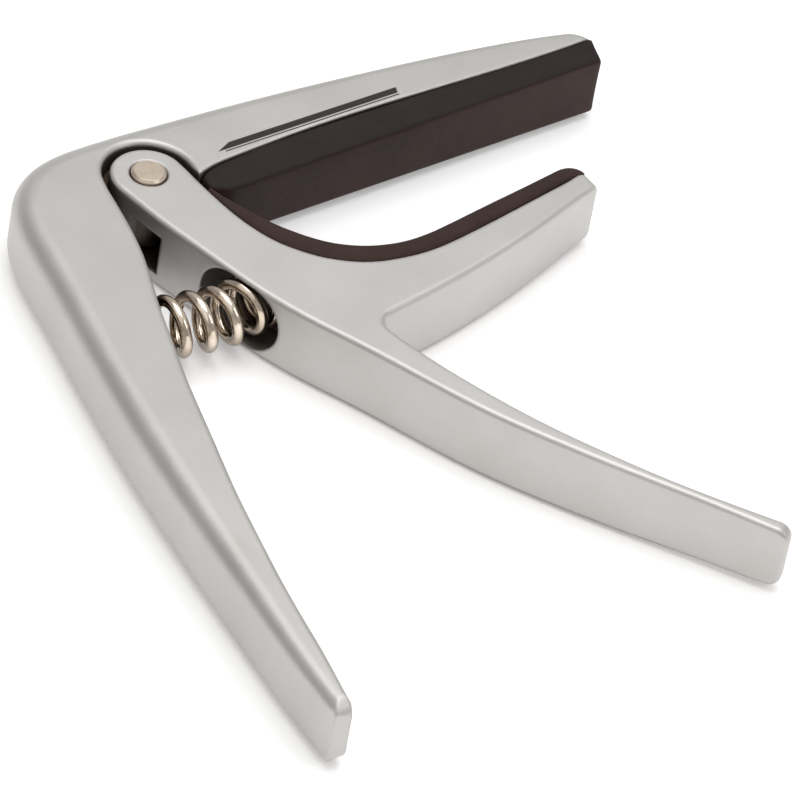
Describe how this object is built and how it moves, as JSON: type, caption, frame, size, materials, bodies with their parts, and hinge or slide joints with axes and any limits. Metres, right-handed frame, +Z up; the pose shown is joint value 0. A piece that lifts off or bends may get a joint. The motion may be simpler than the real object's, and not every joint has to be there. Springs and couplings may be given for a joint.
{
  "type": "guitar capo",
  "caption": "Spring-loaded squeeze capo: cast frame with jaw and handle, pivoting trigger lever with curved saddle, coil spring and rubber pads.",
  "frame": {"origin": "bottom centre of the bounding box, with the capo lying on its side face", "axes": "+Z up along the pivot axis, +X along the jaw towards its tip, -Y along the fixed handle towards its end"},
  "size_m": [0.1048, 0.1042, 0.0113],
  "materials": {
    "cast_metal": "satin",
    "lever_metal": "satin",
    "pin_steel": "satin",
    "spring_steel": "polished",
    "string_pad_rubber": "matte",
    "saddle_pad_rubber": "matte"
  },
  "bodies": {
    "frame_body": {"frame": "cast_metal", "pivot_pin": "pin_steel", "string_pad": "string_pad_rubber", "spring": "spring_steel"},
    "lever_body": {"lever": "lever_metal", "saddle_pad": "saddle_pad_rubber"}
  },
  "joints": [
    {"name": "lever_hinge", "type": "hinge", "parent": "frame_body", "child": "lever_body", "pos_m": [-0.01849, 0.04225, 0.0055], "axis": [0, 0, -1], "range_deg": [0, 25], "stiffness_Nm_per_rad": 1.2, "springref_deg": -34.38, "deforming": ["spring"]}
  ]
}
